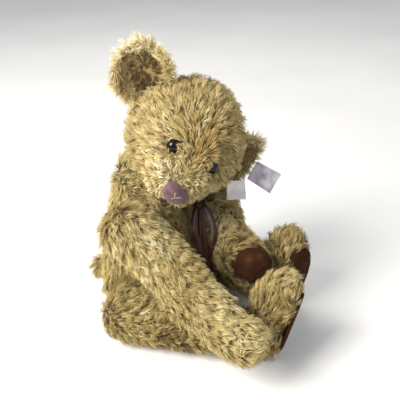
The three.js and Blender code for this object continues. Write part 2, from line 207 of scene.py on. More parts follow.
def edited(mesh, edit):
    """The mesh after edit has worked on it as a bmesh."""
    bm = bmesh.new()
    bm.from_mesh(mesh)
    edit(bm)
    bm.to_mesh(mesh)
    bm.free()
    mesh.update()
    return mesh


def welded(mesh):
    """The mesh with its faces joined at the corners they share."""
    return edited(mesh, lambda bm: bmesh.ops.remove_doubles(bm, verts=bm.verts, dist=0.001 * MM))


def applied(ob):
    """The object's mesh with its modifiers in it. The object itself goes."""
    bpy.context.view_layer.update()
    graph = bpy.context.evaluated_depsgraph_get()
    mesh = bpy.data.meshes.new_from_object(ob.evaluated_get(graph), depsgraph=graph)
    bpy.data.objects.remove(ob)
    return mesh


def remeshed(mesh, voxel, smooth=6):
    """The mesh's outermost surface, in even quads."""
    ob = linked("remesh", mesh)
    remesh = ob.modifiers.new("remesh", "REMESH")
    remesh.mode = "VOXEL"
    remesh.voxel_size = voxel

    def even_out(bm):
        keep_largest(bm)
        for _ in range(smooth):
            bmesh.ops.smooth_vert(
                bm, verts=bm.verts, factor=0.5, use_axis_x=True, use_axis_y=True, use_axis_z=True
            )

    return edited(applied(ob), even_out)


def keep_largest(bm):
    """Deletes all but the connected part with the most vertices."""
    seen = set()
    parts = []
    for start in bm.verts:
        if start in seen:
            continue
        part = [start]
        seen.add(start)
        for vert in part:
            for edge in vert.link_edges:
                other = edge.other_vert(vert)
                if other not in seen:
                    seen.add(other)
                    part.append(other)
        parts.append(part)
    parts.sort(key=len)
    for part in parts[:-1]:
        bmesh.ops.delete(bm, geom=part, context="VERTS")


def subdivided(mesh):
    ob = linked("subdivide", mesh)
    ob.modifiers.new("subdivide", "SUBSURF").levels = 1
    return applied(ob)


def grown(mesh, by):
    """Moves the surface out along its normals, or in when by is negative."""
    set_coordinates(mesh, coordinates(mesh) + normals(mesh) * by)
    return mesh


def puffed(mesh, caps, pressure=4.0, frames=20):
    """Cloth blown up by pressure, no vertex moving further than its cap."""
    ob = linked("puff", mesh)
    rest = coordinates(mesh)
    held = ob.vertex_groups.new(name="held")
    for i in np.flatnonzero(caps < 0.2 * MM):
        held.add([int(i)], 1.0, "REPLACE")
    cloth = ob.modifiers.new("cloth", "CLOTH")
    cloth.settings.quality = 4
    cloth.settings.mass = 0.3
    cloth.settings.use_pressure = True
    cloth.settings.uniform_pressure_force = pressure
    cloth.settings.effector_weights.gravity = 0
    cloth.settings.vertex_group_mass = "held"
    cloth.collision_settings.use_self_collision = False
    cloth.point_cache.frame_start = 1
    cloth.point_cache.frame_end = frames
    for number in range(1, frames + 1):
        SCENE.frame_set(number)
    graph = bpy.context.evaluated_depsgraph_get()
    moved = coordinates(ob.evaluated_get(graph).data) - rest
    ob.modifiers.remove(cloth)
    ob.vertex_groups.clear()
    bpy.data.objects.remove(ob)
    SCENE.frame_set(1)
    length = np.linalg.norm(moved, axis=1, keepdims=True)
    set_coordinates(mesh, rest + moved * np.minimum(1, caps[:, None] / np.maximum(length, 1e-9)))
    return mesh


def seam_caps(points, seams, most):
    """How far each point may puff: little beside a seam, which is a plane (point, normal)."""
    caps = np.full(len(points), most)
    for at, normal in seams:
        away = np.abs((points - at) @ unit(np.asarray(normal, float)))
        caps = np.minimum(caps, most * (0.15 + 0.85 * step(0, SEAM_WIDTH, away)))
    return caps


def ringed(rings):
    """Quads between equal rings of vertices (rings, sides, 3), with the ends closed by fans."""
    count, sides, _ = rings.shape
    points = rings.reshape(-1, 3)
    faces = []
    for i in range(count - 1):
        for j in range(sides):
            a = i * sides + j
            b = i * sides + (j + 1) % sides
            faces.append((a, b, b + sides, a + sides))
    faces.append(tuple(reversed(range(sides))))
    faces.append(tuple(range((count - 1) * sides, count * sides)))
    mesh = bpy.data.meshes.new("rings")
    mesh.from_pydata(points.tolist(), [], faces)
    mesh.update()
    return mesh


# ---------- materials ----------


class Shader:
    """A Principled material with short calls for the nodes that feed it."""

    def __init__(self, name, **values):
        self.material = bpy.data.materials.new(name)
        self.material.use_nodes = True
        self.tree = self.material.node_tree
        self.bsdf = self.tree.nodes["Principled BSDF"]
        for socket, value in values.items():
            self.bsdf.inputs[socket.replace("_", " ")].default_value = value

    def add(self, kind, *links, **settings):
        """A node with links (input, source socket) and its attributes or input values."""
        node = self.tree.nodes.new(kind)
        for key, value in settings.items():
            if key.startswith("in_"):
                node.inputs[key[3:].replace("_", " ")].default_value = value
            else:
                setattr(node, key, value)
        for name, source in links:
            self.feed(node, name, source)
        return node

    def feed(self, node, slot, value):
        """Gives an input a number, a colour or another node's output."""
        if isinstance(value, bpy.types.NodeSocket):
            self.tree.links.new(value, node.inputs[slot])
        else:
            node.inputs[slot].default_value = (*value, 1) if isinstance(value, tuple) else value

    def link(self, source, socket):
        self.feed(self.bsdf, socket, source)

    def ramp(self, source, *stops):
        """Colours (position, (r, g, b)) along the source value."""
        node = self.add("ShaderNodeValToRGB", ("Fac", source))
        ramp = node.color_ramp
        while len(ramp.elements) < len(stops):
            ramp.elements.new(0.5)
        for element, (at, colour) in zip(ramp.elements, stops):
            element.position = at
            element.color = (*colour, 1)
        return node.outputs["Color"]

    def maths(self, operation, a, b):
        node = self.add("ShaderNodeMath", operation=operation)
        self.feed(node, 0, a)
        self.feed(node, 1, b)
        return node.outputs[0]

    def mix(self, factor, a, b, blend="MIX"):
        node = self.add("ShaderNodeMix", data_type="RGBA", blend_type=blend)
        for slot, value in ((0, factor), (6, a), (7, b)):
            self.feed(node, slot, value)
        return node.outputs[2]

    def noise(self, scale, detail=4.0):
        source = self.add("ShaderNodeTexCoord").outputs["Object"]
        node = self.add("ShaderNodeTexNoise", ("Vector", source), in_Scale=scale, in_Detail=detail)
        return node.outputs["Fac"]

    def bump(self, height, depth, strength=0.6):
        node = self.add("ShaderNodeBump", ("Height", height), in_Distance=depth, in_Strength=strength)
        self.link(node.outputs["Normal"], "Normal")


def srgb(r, g, b):
    """Linear colour of an sRGB one, 0 to 255."""
    return tuple(((c / 255 + 0.055) / 1.055) ** 2.4 if c > 10 else c / 255 / 12.92 for c in (r, g, b))


def grey(value):
    return (value,) * 3


def fur_material():
    """Strand colour from the strands' own UVs: U is the strand's tone, V runs from its root to its tip, along
    which the colour is darkened towards the root as painted shade among the strands.
    """
    shader = Shader(
        "fur", Roughness=0.62, Sheen_Weight=0.25, Sheen_Roughness=0.4, Specular_IOR_Level=0.25,
        Sheen_Tint=(*srgb(255, 236, 190), 1),
    )
    uv = shader.add("ShaderNodeUVMap", uv_map="OFBake")
    split = shader.add("ShaderNodeSeparateXYZ", ("Vector", uv.outputs["UV"]))
    tip = shader.ramp(
        split.outputs["X"],
        # The darkest stop is painted shade, reached by the fur in the hollows of the ears.
        (0.0, srgb(62, 45, 17)),
        (0.14, srgb(146, 122, 70)),
        (0.32, srgb(190, 167, 107)),
        (0.5, srgb(218, 198, 138)),
        (0.66, srgb(240, 225, 172)),
        (0.78, srgb(253, 246, 214)),
        (0.8, srgb(170, 138, 76)),
        (0.9, srgb(208, 176, 108)),
        (1.0, srgb(238, 212, 148)),
    )
    # Painted shade: root is the strand's colour darkened as if shaded by the strands around it, and rise fades
    # that painted shade out towards the tip.
    root = shader.mix(0.58, tip, srgb(98, 76, 38))
    rise = shader.ramp(
        split.outputs["Y"],
        (0.0, grey(0)),
        (0.25, grey(0.12)),
        (0.6, grey(0.75)),
        (1.0, grey(1)),
    )
    shader.link(shader.mix(rise, root, tip), "Base Color")
    return shader.material


def cloth_material(name, dark, light, weave=900.0, blotch=60.0, **values):
    """Woven or napped cloth: two colours mixed by blotches, with a fine bump."""
    shader = Shader(name, **values)
    patches = shader.ramp(shader.noise(blotch), (0.35, dark), (0.65, light))
    grain = shader.noise(weave, 2.0)
    fine = shader.ramp(grain, (0.3, grey(0.8)), (0.7, grey(1)))
    shader.link(shader.mix(1.0, patches, fine, "MULTIPLY"), "Base Color")
    shader.bump(grain, 0.3 * MM)
    return shader.material


def suede_material():
    """Dark napped suede, rubbed paler in patches."""
    shader = Shader(
        "suede", Roughness=1.0, Sheen_Weight=0.08, Sheen_Roughness=0.6, Specular_IOR_Level=0.04,
        Sheen_Tint=(*srgb(190, 140, 110), 1),
    )
    colour = shader.ramp(
        shader.noise(70.0, 6.0), (0.3, srgb(42, 24, 15)), (0.55, srgb(56, 33, 21)), (0.8, srgb(78, 50, 35))
    )
    nap = shader.noise(1500.0, 3.0)
    fine = shader.ramp(nap, (0.3, grey(0.7)), (0.7, grey(1)))
    shader.link(shader.mix(1.0, colour, fine, "MULTIPLY"), "Base Color")
    shader.bump(nap, 0.4 * MM)
    return shader.material


def satin_material():
    """Burgundy satin with a soft cross weave."""
    shader = Shader(
        "satin", Roughness=0.36, Sheen_Weight=0.08, Sheen_Roughness=0.3, Specular_IOR_Level=0.36,
        Sheen_Tint=(*srgb(200, 140, 125), 1), Anisotropic=0.5,
    )
    where = shader.add("ShaderNodeTexCoord").outputs["Object"]
    weave = shader.add(
        "ShaderNodeTexWave", ("Vector", where), in_Scale=900.0, in_Distortion=1.5, bands_direction="Z"
    ).outputs["Fac"]
    colour = shader.ramp(shader.noise(90.0), (0.3, srgb(34, 10, 7)), (0.7, srgb(64, 24, 17)))
    shader.link(shader.mix(0.12, colour, weave, "OVERLAY"), "Base Color")
    shader.bump(weave, 0.1 * MM, 0.3)
    return shader.material


def eye_material():
    """Black eye with a dark amber iris, by distance from the eye's axis, under a clear coat."""
    shader = Shader("eye", Roughness=0.14, Coat_Weight=0.2, Coat_Roughness=0.03, Specular_IOR_Level=0.18)
    where = shader.add("ShaderNodeTexCoord").outputs["Object"]
    split = shader.add("ShaderNodeSeparateXYZ", ("Vector", where))
    x, y = split.outputs["X"], split.outputs["Y"]
    squares = shader.maths("ADD", shader.maths("MULTIPLY", x, x), shader.maths("MULTIPLY", y, y))
    off = shader.maths("MULTIPLY", shader.maths("SQRT", squares, 0), 1 / (6.5 * MM))
    iris = shader.ramp(
        off,
        (0.0, srgb(4, 3, 3)),
        (0.5, srgb(5, 4, 3)),
        (0.58, srgb(30, 16, 8)),
        (0.8, srgb(22, 12, 6)),
        (0.9, srgb(4, 3, 3)),
    )
    streaks = shader.ramp(shader.noise(2500.0), (0.3, grey(0.6)), (0.7, grey(1)))
    shader.link(shader.mix(1.0, iris, streaks, "MULTIPLY"), "Base Color")
    return shader.material


def plastic_material():
    """Moulded natural nylon with a faint texture."""
    shader = Shader("joint_plastic", Roughness=0.5)
    colour = shader.ramp(shader.noise(200.0), (0.3, srgb(222, 219, 208)), (0.7, srgb(236, 234, 226)))
    shader.link(colour, "Base Color")
    shader.bump(shader.noise(1200.0, 2.0), 0.05 * MM)
    return shader.material


MATERIALS = {
    "plush": fur_material(),
    "backing": cloth_material("backing", srgb(108, 88, 48), srgb(136, 114, 68), Roughness=0.95),
    "stuffing": cloth_material(
        "stuffing", srgb(226, 224, 214), srgb(246, 245, 240), 500.0, 80.0, Roughness=1.0
    ),
    "suede": suede_material(),
    "nose_suede": cloth_material(
        "nose_suede", srgb(72, 45, 50), srgb(102, 70, 76), 1500.0, 160.0, Roughness=0.85, Sheen_Weight=0.2
    ),
    "satin": satin_material(),
    "joint_plastic": plastic_material(),
    "eye": eye_material(),
    "large_label": cloth_material(
        "large_label", srgb(158, 146, 164), srgb(206, 198, 210), 1800.0, 120.0,
        Roughness=0.45, Sheen_Weight=0.3,
    ),
    "small_label": cloth_material(
        "small_label", srgb(234, 231, 232), srgb(248, 246, 245), 1800.0, 120.0,
        Roughness=0.5, Sheen_Weight=0.3,
    ),
    "thread": cloth_material("thread", srgb(46, 28, 24), srgb(72, 46, 40), 2500.0, 300.0, Roughness=0.6),
}
SLOT_OF = {row["node"]: row["material_slot"] for row in frame["record"]["subparts"]}
for node_name, node in NODES.items():
    node.data.materials.clear()
    node.data.materials.append(MATERIALS.get(node_name) or MATERIALS[SLOT_OF[node_name]])


# ---------- pile ----------


def scattered(mesh, density, rng):
    """Random points on a surface with their normals, so many to the square metre."""
    mesh.calc_loop_triangles()
    corners = np.empty(len(mesh.loop_triangles) * 3, np.int32)
    mesh.loop_triangles.foreach_get("vertices", corners)
    corners = corners.reshape(-1, 3)
    co, nor = coordinates(mesh), normals(mesh)
    a, b, c = (co[corners[:, i]] for i in range(3))
    area = np.linalg.norm(np.cross(b - a, c - a), axis=1) / 2
    count = int(area.sum() * density)
    pick = rng.choice(len(area), count, p=area / area.sum())
    u, v = rng.uniform(size=(2, count))
    over = u + v > 1
    u[over], v[over] = 1 - u[over], 1 - v[over]
    weights = np.stack([1 - u - v, u, v], 1)[:, :, None]
    points = (co[corners[pick]] * weights).sum(1)
    return points, unit((nor[corners[pick]] * weights).sum(1))


def near_node(points, name, gap):
    """Which points lie within gap of a CAD node."""
    low, high = (np.array(corner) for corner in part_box(name))
    inside = ((points > low - gap) & (points < high + gap)).all(1)
    tree = surface_of(name)
    out = np.zeros(len(points), bool)
    for i in np.flatnonzero(inside):
        out[i] = tree.find_nearest(Vector(points[i]), gap)[0] is not None
    return out


def pressed(points, normal, body):
    """1 where a joint presses the pile flat between two parts, 0 in the open."""
    out = np.zeros(len(points))
    for child, axis in AXES.items():
        if body not in (child, "torso"):
            continue
        along, around = along_and_off(points, PIVOTS[child], axis)
        faces_it = step(0.5, 0.85, np.abs(normal @ axis)) * (np.abs(along) < 7 * MM)
        reach = 27 * MM if child == "head" else 38 * MM
        out = np.maximum(out, faces_it * (1 - step(reach - 4 * MM, reach + 6 * MM, around)))
    return out


def strands(name, body, roots, normal, flow, look, seed):
    """One mesh of tapered three-sided strands, gathered in locks.

    look holds width, lock (strands to a lock) and gather (how closely a lock keeps together). It also holds
    length, stand (height of the tip over the cloth), tone and, if wanted, warm: a number, or one per strand.
    """
    rng = np.random.default_rng(seed)
    count = len(roots)
    flow = unit(flow - normal * dot(flow, normal)[:, None])
    leaders = max(1, count // look["lock"])
    tree = KDTree(leaders)
    for i in range(leaders):
        tree.insert(roots[i], i)
    tree.balance()
    leader = np.array([tree.find(p)[1] for p in roots])

    def by_lock():
        """A random number for each lock, the same for all its strands."""
        return rng.normal(size=leaders)[leader]

    def by_strand():
        return rng.normal(size=count)

    # A lock leans its own way; a strand strays a little from its lock.
    lock_stray = rng.normal(size=(leaders, 3)) * look.get("stray", 0.28)
    way = unit(flow + lock_stray[leader] + rng.normal(size=(count, 3)) * 0.14)
    way = unit(way - normal * dot(way, normal)[:, None])
    length = look["length"] * (1 + 0.16 * by_lock() + 0.12 * by_strand())
    length = np.clip(length, 0.35 * look["length"], 1.45 * look["length"])
    lift = 1 + 0.3 * by_lock() + 0.15 * by_strand()
    stand = np.minimum(look["stand"] * np.clip(lift, 0.3, 2), length * 0.9)
    reach = np.sqrt(length**2 - stand**2)
    side = np.cross(normal, way)
    curl = (by_lock() + 0.5 * by_strand()) * 0.14 * length
    wave = (by_lock() + 0.6 * by_strand()) * 0.05 * length

    path = np.empty((len(STATIONS), count, 3))
    for k, t in enumerate(STATIONS):
        rise = math.sin(t * math.pi / 2) ** 0.9 if t else 0.0
        path[k] = (
            roots
            + normal * (stand * rise - ROOT_DEPTH * (1 - t))[:, None]
            + way * (reach * (0.75 * t + 0.25 * t * t))[:, None]
            + side * (curl * t * t + wave * math.sin(t * 2 * math.pi))[:, None]
        )
    for k, t in enumerate(STATIONS[1:], 1):
        lead = path[k][:leaders][leader] + rng.normal(size=(count, 3)) * look["width"] * 0.5
        path[k] += (lead - path[k]) * (look["gather"] * t**1.3)
    path[:, :, 2] = np.maximum(path[:, :, 2], FLOOR_CLEAR + 0.5 * MM * rng.uniform(size=count))

    # Three vertices round each station but the last, which is the tip.
    ahead = unit(np.gradient(path, axis=0))
    across = unit(np.cross(ahead, normal[None]))
    over = np.cross(across, ahead)
    spin = rng.uniform(0, 2 * math.pi, count)
    girth = look["width"] / 2 * rng.uniform(0.7, 1.25, count)
    rings = len(STATIONS) - 1
    points = np.empty((count, rings * 3 + 1, 3))
    for k in range(rings):
        for j in range(3):
            turn = spin + j * 2 * math.pi / 3
            offset = across[k] * np.cos(turn)[:, None] + over[k] * np.sin(turn)[:, None]
            points[:, k * 3 + j] = path[k] + offset * (girth * GIRTH[k])[:, None]
    points[:, -1] = path[-1]
    points[:, :, 2] = np.maximum(points[:, :, 2], FLOOR_CLEAR)

    faces = []
    for k in range(rings - 1):
        for j in range(3):
            a, b = k * 3 + j, k * 3 + (j + 1) % 3
            faces += [(a, b, b + 3), (a, b + 3, a + 3)]
    last = (rings - 1) * 3
    faces += [(last + j, last + (j + 1) % 3, last + 3) for j in range(3)]
    faces.append((2, 1, 0))
    pattern = np.array(faces)
    corners = (pattern[None] + (np.arange(count) * (rings * 3 + 1))[:, None, None]).reshape(-1)

    mesh = bpy.data.meshes.new(name)
    mesh.vertices.add(count * (rings * 3 + 1))
    mesh.vertices.foreach_set("co", points.astype(np.float32).ravel())
    mesh.loops.add(len(corners))
    mesh.loops.foreach_set("vertex_index", corners.astype(np.int32))
    mesh.polygons.add(count * len(pattern))
    mesh.polygons.foreach_set("loop_start", np.arange(0, len(corners), 3, dtype=np.int32))
    mesh.update(calc_edges=True)

    tone = look["tone"] + 0.12 * by_lock() + 0.11 * by_strand()
    warm = look.get("warm", 0) + 0.12 * by_lock() > 0.5
    tone = np.where(warm, 0.81 + 0.17 * np.clip(tone, 0, 1), 0.77 * np.clip(tone, 0, 1))
    local_u = np.array([(j - 1) * TONE_SPAN / 2 for _ in range(rings) for j in range(3)] + [0.0])
    local_v = np.array([STATIONS[k] for k in range(rings) for _ in range(3)] + [1.0])
    u = np.clip(tone[:, None] + local_u[None, pattern.ravel()], 0.002, 0.998)
    v = np.broadcast_to(local_v[pattern.ravel()] * 0.99 + 0.005, u.shape)
    layer = mesh.uv_layers.new(name="OFBake")
    layer.data.foreach_set("uv", np.stack([u, v], -1).astype(np.float32).ravel())
    return piece(name, mesh, MATERIALS["plush"], body, "plush")


def pile(name, body, mesh, flow, look, seed, clear=(), keep=None):
    """Covers a backing with pile, in as many pieces as its size needs."""
    rng = np.random.default_rng(seed)
    roots, normal = scattered(mesh, look["density"], rng)
    stay = np.ones(len(roots), bool) if keep is None else keep(roots)
    for node_name, gap in clear:
        stay &= ~near_node(roots, node_name, gap)
    roots, normal = roots[stay], normal[stay]
    flat = pressed(roots, normal, body)
    stay = rng.uniform(size=len(roots)) > flat * 0.8
    roots, normal, flat = roots[stay], normal[stay], flat[stay]
    value = {key: item(roots, normal) if callable(item) else item for key, item in look.items()}
    value["length"] = value["length"] * (1 - 0.6 * flat)
    value["stand"] = value["stand"] * (1 - 0.8 * flat)
    way = unit(flow(roots, normal)) + 0.45 * drift(roots, 0.035, seed) + 0.3 * drift(roots, 0.012, seed + 1)
    _, axes = principal(roots)
    parts = math.ceil(len(roots) / PIECE_STRANDS)
    order = np.argsort(roots @ axes[0], kind="stable")
    for number, chosen in enumerate(np.array_split(order, parts)):
        chosen = rng.permutation(chosen)
        own = {key: item[chosen] if np.ndim(item) else item for key, item in value.items()}
        label = name if parts == 1 else f"{name}_{number + 1}"
        strands(label, body, roots[chosen], normal[chosen], way[chosen], own, seed + 10 + number)


# ---------- directions the pile is combed in ----------


def along_guides(guides):
    """Along a line of guide points, from the first to the last."""
    guides = np.asarray(guides)
    middles = (guides[1:] + guides[:-1]) / 2
    ways = unit(np.diff(guides, axis=0))

    def flow(points, _):
        apart = np.linalg.norm(points[:, None] - middles[None], axis=2)
        weights = np.exp(-((apart - apart.min(1, keepdims=True)) / 0.02))
        return weights @ ways

    return flow


def slices(points, start, end, count):
    """Centres of a limb's slices on its way from start to end."""
    way = end - start
    at = (points - start) @ way / (way @ way)
    centres = [start]
    for i in range(count):
        near = np.abs(at - (i + 0.5) / count) < 0.5 / count
        if near.any():
            centres.append(points[near].mean(0))
    return centres + [end]


DOWN = np.array([0.0, 0.0, -1.0])


# ---------- backing cloth ----------


def envelope(skin, stuffing, *others):
    """The closed outer form of a stuffed part, with no hollow left between its shell and its filling."""
    filling = grown(joined(stuffing), FILL_OVERLAP)
    return remeshed(merged([filling, joined(skin, *others)]), VOXEL)


def search_tree(mesh):
    return BVHTree.FromPolygons(coordinates(mesh).tolist(), [tuple(face.vertices) for face in mesh.polygons])


def surface_of(name):
    """A search tree of a CAD node's faces."""
    return search_tree(joined(name))


def covering(points, tree, gaps):
    """Points moved out to lie at least their gaps outside a surface."""
    out = points.copy()
    for i, (point, gap) in enumerate(zip(points, np.broadcast_to(gaps, len(points)))):
        at, normal, _, _ = tree.find_nearest(Vector(point))
        depth = (Vector(point) - at) @ normal
        if depth < gap:
            out[i] = np.array(at) + np.array(normal) * gap
    return out


def root_in(mesh, name, depth):
    """Pushes the end of a part that is sewn to a CAD node that far into it."""
    tree = surface_of(name)
    points = coordinates(mesh)
    for i, point in enumerate(points):
        _, normal, _, apart = tree.find_nearest(Vector(point))
        points[i] -= np.array(normal) * depth * (1 - step(4 * MM, 11 * MM, apart))
    set_coordinates(mesh, points)


def backing(name, body, skin, others, seams):
    """The puffed cloth under the pile, standing for the plain CAD shell."""
    mesh = envelope(skin, skin.replace("_skin", "_stuffing"), *others)
    points, normal = coordinates(mesh), normals(mesh)
    flat = pressed(points, normal, body)
    inwards = (PILE_DEPTH + PUFF) * (1 - flat) + FLAT_DEPTH * flat
    points = points - normal * inwards[:, None]
    set_coordinates(mesh, points)
    caps = seam_caps(points, seams, PUFF) * (1 - flat)
    mesh = puffed(mesh, caps)
    mesh = subdivided(mesh)
    filling = surface_of(skin.replace("_skin", "_stuffing"))
    set_coordinates(mesh, covering(coordinates(mesh), filling, CLOTH_GAP))
    piece(name, mesh, MATERIALS["backing"], body, "plush", skin)
    return mesh


def toned(base):
    """A tone that drifts over the surface."""
    return lambda roots, _: base + 0.16 * drift(roots, 0.02, 5)[:, 0]


BODY_PILE = {
    "density": 0.72e6,
    "length": 14 * MM,
    "stand": 5.2 * MM,
    "width": 0.62 * MM,
    "lock": 9,
    "gather": 0.36,
    "tone": toned(0.5),
}


# ---------- torso and tail ----------


def build_torso():
    middle = centre("torso_skin")
    washers = ["neck_washer"] + [f"{side}_{joint}_washer" for side in SIDES for joint in ("shoulder", "hip")]
    mesh = backing("torso_cloth", "torso", "torso_skin", washers, [(middle, (1, 0, 0))])

    def rim(points):
        """1 on the rim of the neck, 0 away from it."""
        along, around = along_and_off(points, PIVOTS["head"], AXES["head"])
        return (1 - step(8 * MM, 20 * MM, np.abs(along))) * step(24 * MM, 29 * MM, around)

    def flow(points, _):
        outward = DOWN + 0.35 * unit(points - middle) * np.array([1, 1, 0])
        return outward + 1.8 * AXES["head"] * rim(points)[:, None]

    look = {
        **BODY_PILE,
        "length": lambda points, _: MM * (14 + 2 * rim(points)),
        "stand": lambda points, _: MM * (5.2 + 3 * rim(points)),
    }
    pile("torso_fur", "torso", mesh, flow, look, 100)

    tail_mesh = remeshed(joined("tail"), 3 * MM)
    grown(tail_mesh, -5 * MM)
    root_in(tail_mesh, "torso_skin", 8 * MM)
    piece("tail_cloth", tail_mesh, MATERIALS["backing"], "torso", "plush", "tail")
    root = middle * np.array([1, 0, 0]) + centre("tail") * np.array([0, 1, 1]) - np.array([0, 0.02, 0])

    def tail_flow(points, _):
        return unit(points - root) + 0.3 * DOWN

    pile("tail_fur", "torso", tail_mesh, tail_flow, {**BODY_PILE, "density": 0.8e6, "length": 13 * MM}, 140)


# ---------- arms ----------


def pad(name, body, node, cloth, voxel, puff):
    """A suede pad: the CAD patch blown up a little, held at its sewn edge, over the cloth under it."""
    filling = f"{body}_stuffing"
    # Thicker first, because remeshing would lose the patch where it is thinner than a voxel
    mesh = remeshed(grown(welded(joined(node)), 0.6 * MM), voxel, 2)
    points = coordinates(mesh)
    middle, axes = principal(points)
    across = (points - middle) @ axes[:2].T
    reach = np.abs(across).max(0)
    rim = np.linalg.norm(across / reach, axis=1)
    mesh = subdivided(puffed(mesh, puff * (1 - step(0.72, 0.97, rim)), pressure=2.0))
    points, normal = coordinates(mesh), normals(mesh)
    across = (points - middle) @ axes[:2].T / reach
    rim = np.linalg.norm(across, axis=1)
    angle = np.arctan2(across[:, 1], across[:, 0])
    puckers = np.sin(angle * 38) * step(0.72, 0.9, rim) * 0.16 * MM
    points = points + normal * (puckers - 0.5 * MM * step(0.9, 1.0, rim))[:, None]
    out = axes[2] * np.sign(axes[2] @ (middle - centre(filling)))
    lift = 0.6 * MM * step(-0.3, 0.6, normal @ out)
    points = covering(points, surface_of(filling), PAD_FILLING_GAP + lift)
    set_coordinates(mesh, covering(points, search_tree(cloth), PAD_CLOTH_GAP + lift))
    return piece(name, mesh, MATERIALS["suede"], body, "suede", node)


def build_arm(side):
    body = f"{side}_arm"
    pivot = PIVOTS[body]
    paw = centre(f"{side}_paw_pad")
    skin = node_points(f"{body}_skin")
    reach = paw - pivot
    far = skin[np.argmax((skin - pivot) @ reach)]
    guides = slices(skin, pivot, far, 5)
    across = np.cross(reach, DOWN)
    seams = [(pivot + reach / 2, across)]
    mesh = backing(f"{body}_cloth", body, f"{body}_skin", [f"{body}_joint_stud"], seams)
    look = {**BODY_PILE, "length": 13 * MM, "stand": 5.4 * MM, "tone": toned(0.62)}
    pile(f"{body}_fur", body, mesh, along_guides(guides), look, 200 + 50 * SIDES.index(side),
         clear=[(f"{side}_paw_pad", 3.5 * MM)])
    pad(f"{side}_paw_suede", body, f"{side}_paw_pad", mesh, 1.6 * MM, 1.5 * MM)


# ---------- legs ----------


def build_leg(side):
    body = f"{side}_leg"
    pivot = PIVOTS[body]
    sole_middle, sole_axes = principal(node_points(f"{side}_sole_pad"))
    toes = sole_axes[0] * np.sign(sole_axes[0][2])
    out = sole_axes[2] * np.sign(sole_axes[2] @ (sole_middle - pivot))
    ankle = sole_middle - toes * 20 * MM - out * 22 * MM
    shin = unit(ankle - pivot)
    seams = [(sole_middle, np.cross(toes, out))]
    mesh = backing(f"{body}_cloth", body, f"{body}_skin", [f"{body}_joint_stud"], seams)

    def flow(points, _):
        offset = points - sole_middle
        from_sole = -(offset @ out)
        foot = 1 - step(38 * MM, 62 * MM, from_sole)
        # Away from the sole's middle, and towards the toes on the upper half
        spread = unit(offset - (offset @ out)[:, None] * out)
        upper = step(-0.4, 0.4, spread @ toes)[:, None]
        on_foot = toes * 0.55 * upper + spread * 0.55 + out * (0.1 + 0.25 * upper)
        return shin * (1 - foot)[:, None] + on_foot * foot[:, None]

    look = {**BODY_PILE, "length": 13.5 * MM, "stand": 5.8 * MM, "tone": toned(0.4)}
    pile(f"{body}_fur", body, mesh, flow, look, 300 + 50 * SIDES.index(side),
         clear=[(f"{side}_sole_pad", 3.8 * MM)])
    pad(f"{side}_sole_suede", body, f"{side}_sole_pad", mesh, 1.5 * MM, 1.2 * MM)


# ---------- head ----------


def eye_frame(side):
    """The eye's front, its axis and its radius."""
    points = node_points(f"{side}_eye")
    back = node_points(f"{side}_eye_washer").mean(0)
    axis = unit(points.mean(0) - back)
    along, around = along_and_off(points, back, axis)
    return back + axis * along.max(), axis, around.max()


def frame_matrix(at, x, y, z):
    return Matrix([*np.transpose([x, y, z, at]).tolist(), (0, 0, 0, 1)])


def build_eye(side):
    front, axis, radius = eye_frame(side)
    up = unit(np.cross(axis, (1.0, 0.3, 0.2)))
    across = np.cross(up, axis)
    sides, height = 48, 0.8 * radius
    profile = [(radius * math.sin(a), height * math.cos(a)) for a in np.linspace(0.02, math.pi / 2, 20)]
    profile += [(radius * 0.96, -0.6 * MM), (radius * 0.8, -1.0 * MM)]
    profile += [(2.2 * MM, -1.2 * MM), (2.2 * MM, -12 * MM)]
    turn = np.linspace(0, 2 * math.pi, sides, endpoint=False)
    rings = np.array([[(r * math.cos(t), r * math.sin(t), z) for t in turn] for r, z in reversed(profile)])
    mesh = ringed(rings)
    mesh.shade_smooth()
    ob = linked(f"{side}_eye_dome", mesh, MATERIALS["eye"])
    ob.matrix_world = frame_matrix(front - axis * (height + EYE_SUNK), across, up, axis)
    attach(ob, "head")
    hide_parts(f"{side}_eye")


def face_axes():
    """The head's middle and its forward, leftward and upward directions."""
    middle = centre("head_stuffing")
    eyes = {side: eye_frame(side)[0] for side in SIDES}
    left = unit(eyes["left"] - eyes["right"])
    forward = centre("nose") - middle
    forward = unit(forward - left * (forward @ left))
    return middle, forward, left, np.cross(forward, left)


